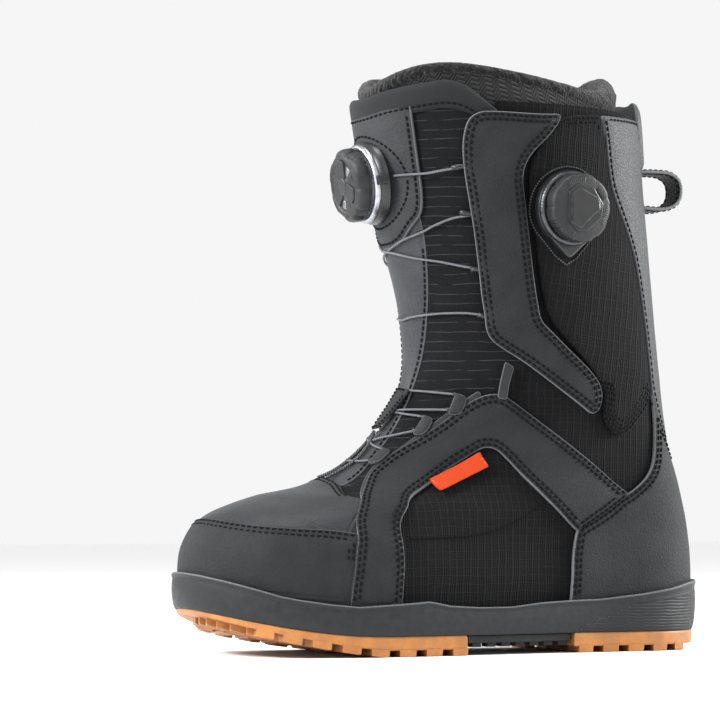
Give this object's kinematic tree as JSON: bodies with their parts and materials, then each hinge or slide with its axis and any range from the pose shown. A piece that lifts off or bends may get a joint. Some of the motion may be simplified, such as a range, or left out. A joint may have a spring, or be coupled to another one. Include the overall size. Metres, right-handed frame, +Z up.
{
  "type": "snowboard boot",
  "caption": "Snowboard boot with layered leather and ripstop shell, cable dials, opening side wings and tongue, lugged sole and padded inner boot.",
  "frame": {"origin": "centre of the bounding box in X and Y, at the height of the tread", "axes": "+X to the toe, +Y to the wearer's left (outer side of this left boot), +Z up"},
  "size_m": [0.3068, 0.1354, 0.3276],
  "materials": {
    "charcoal_leather": "matte",
    "black_ripstop": "matte",
    "midsole_rubber": "matte",
    "gum_rubber": "satin",
    "black_fleece": "matte",
    "dark_plastic": "satin",
    "knob_rubber": "satin",
    "dial_metal": "satin",
    "lace_cord": "satin",
    "orange_label": "satin"
  },
  "bodies": {
    "shell": {"achilles_pad": "charcoal_leather", "backstay": "charcoal_leather", "cuff_base": "black_ripstop", "footbed": "black_fleece", "gore_strip_lateral": "black_ripstop", "gore_strip_medial": "black_ripstop", "heel_counter": "charcoal_leather", "instep_spine": "charcoal_leather", "lace_keeper": "lace_cord", "lace_lower": "lace_cord", "lace_upper": "lace_cord", "lasting_board": "midsole_rubber", "liner_boot": "black_fleece", "liner_collar": "black_fleece", "midsole": "midsole_rubber", "outsole_arch": "midsole_rubber", "outsole_forefoot": "gum_rubber", "outsole_heel": "gum_rubber", "pull_loop": "charcoal_leather", "saddle_guide_1_lateral": "dark_plastic", "saddle_guide_1_medial": "dark_plastic", "saddle_guide_2_lateral": "dark_plastic", "saddle_guide_2_medial": "dark_plastic", "saddle_guide_3_lateral": "dark_plastic", "saddle_guide_3_medial": "dark_plastic", "saddle_lateral": "charcoal_leather", "saddle_medial": "charcoal_leather", "saddle_top_loop_lateral": "lace_cord", "saddle_top_loop_medial": "lace_cord", "side_tab": "orange_label", "toe_rand": "charcoal_leather", "tongue_lower": "charcoal_leather", "upper_base": "black_ripstop", "vamp": "charcoal_leather"},
    "wing_lateral": {"wing_band_lateral": "charcoal_leather", "wing_gore_lateral": "black_ripstop", "guide_upper_lateral": "dark_plastic", "guide_lower_lateral": "dark_plastic", "side_dial_seat": "dark_plastic", "side_dial_trim": "dial_metal", "side_dial_housing": "dark_plastic"},
    "side_spool": {"side_dial_spool": "dark_plastic"},
    "side_axle": {"side_dial_axle": "dial_metal"},
    "side_knob": {"side_dial_knob": "knob_rubber"},
    "wing_medial": {"wing_band_medial": "charcoal_leather", "wing_gore_medial": "black_ripstop", "guide_upper_medial": "dark_plastic", "guide_lower_medial": "dark_plastic"},
    "tongue": {"tongue_upper": "black_ripstop", "tongue_spine": "charcoal_leather", "tongue_binding": "charcoal_leather", "front_dial_seat": "dark_plastic", "front_dial_trim": "dial_metal", "front_dial_housing": "dark_plastic"},
    "front_spool": {"front_dial_spool": "dark_plastic"},
    "front_axle": {"front_dial_axle": "dial_metal"},
    "front_knob": {"front_dial_knob": "knob_rubber"}
  },
  "joints": [
    {"name": "wing_lateral_hinge", "type": "hinge", "parent": "shell", "child": "wing_lateral", "pos_m": [-0.09703, 0.03704, 0.13408], "axis": [0.144, 0.0629, 0.9876], "range_deg": [0, 35], "deforming": ["lace_upper", "lace_lower"]},
    {"name": "wing_medial_hinge", "type": "hinge", "parent": "shell", "child": "wing_medial", "pos_m": [-0.09703, -0.04739, 0.13408], "axis": [-0.144, 0.0629, -0.9876], "range_deg": [0, 35]},
    {"name": "tongue_hinge", "type": "hinge", "parent": "shell", "child": "tongue", "pos_m": [0.02266, -0.00518, 0.146], "axis": [0, 1, 0], "range_deg": [0, 18]},
    {"name": "front_dial_pull", "type": "slide", "parent": "tongue", "child": "front_axle", "axis": [0.9863, 0, -0.1649], "range_m": [0, 0.003]},
    {"name": "front_knob_turn", "type": "hinge", "parent": "front_axle", "child": "front_knob", "pos_m": [0.04374, -0.00518, 0.25833], "axis": [0.9863, 0, -0.1649], "continuous": true},
    {"name": "front_spool_turn", "type": "hinge", "parent": "tongue", "child": "front_spool", "pos_m": [0.04374, -0.00518, 0.25833], "axis": [0.9863, 0, -0.1649], "continuous": true},
    {"name": "side_dial_pull", "type": "slide", "parent": "wing_lateral", "child": "side_axle", "axis": [-0.0949, 0.9939, -0.0562], "range_m": [0, 0.003]},
    {"name": "side_knob_turn", "type": "hinge", "parent": "side_axle", "child": "side_knob", "pos_m": [-0.04934, 0.04834, 0.243], "axis": [-0.0949, 0.9939, -0.0562], "continuous": true},
    {"name": "side_spool_turn", "type": "hinge", "parent": "wing_lateral", "child": "side_spool", "pos_m": [-0.04934, 0.04834, 0.243], "axis": [-0.0949, 0.9939, -0.0562], "continuous": true}
  ],
  "couplings": [
    {"joint": "wing_medial_hinge", "follows": "wing_lateral_hinge", "ratio": 1},
    {"joint": "tongue_hinge", "follows": "wing_lateral_hinge", "ratio": 0.5},
    {"joint": "front_spool_turn", "follows": "front_knob_turn", "ratio": 1},
    {"joint": "side_spool_turn", "follows": "side_knob_turn", "ratio": 1}
  ]
}
